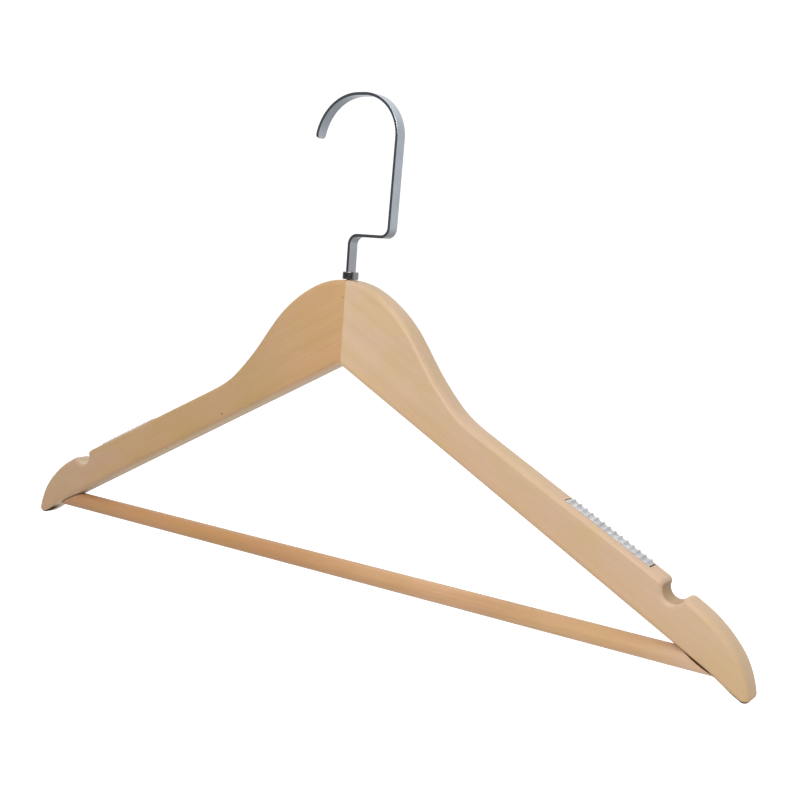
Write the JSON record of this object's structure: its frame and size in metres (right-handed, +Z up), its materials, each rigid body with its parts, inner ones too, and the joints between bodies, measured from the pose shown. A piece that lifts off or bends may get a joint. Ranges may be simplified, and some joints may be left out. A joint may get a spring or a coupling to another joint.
{
  "type": "clothes hanger",
  "caption": "Flat wooden clothes hanger: two glued arms, trouser bar, strap notches, ribbed shoulder grips and a swivelling flat-strip hook.",
  "frame": {"origin": "the crown inside the hook, where the hanger rests on a rail, half way across the strip's width", "axes": "+Z up, +X along the hanger towards the arm on the side of the hook's riser, -Y out of the front face; the swivel axis is 1.3 mm to -X of the origin"},
  "size_m": [0.44, 0.012, 0.2475],
  "materials": {
    "left_arm_wood": "clear satin lacquer on pale hardwood",
    "right_arm_wood": "clear satin lacquer on pale hardwood",
    "bar_wood": "clear satin lacquer on a turned hardwood bar",
    "grip_rubber": "translucent white ribbed rubber",
    "hook_chrome": "polished chrome plate",
    "collar_chrome": "polished chrome plate",
    "swivel_steel": "turned steel, zinc plated",
    "sleeve_brass": "turned brass",
    "pin_steel": "plain steel wire"
  },
  "bodies": {
    "hook": {"hook_strip": "hook_chrome", "hook_collar": "collar_chrome", "swivel_pin": "swivel_steel", "pin_washer": "swivel_steel"},
    "hanger": {"left_arm": "left_arm_wood", "right_arm": "right_arm_wood", "trouser_bar": "bar_wood", "bar_pins": "pin_steel", "left_grip_strip": "grip_rubber", "right_grip_strip": "grip_rubber", "threaded_sleeve": "sleeve_brass"}
  },
  "joints": [
    {"name": "hook_swivel", "type": "hinge", "parent": "hook", "child": "hanger", "pos_m": [-0.0013, 0, -0.08925], "axis": [0, 0, 1], "continuous": true}
  ]
}
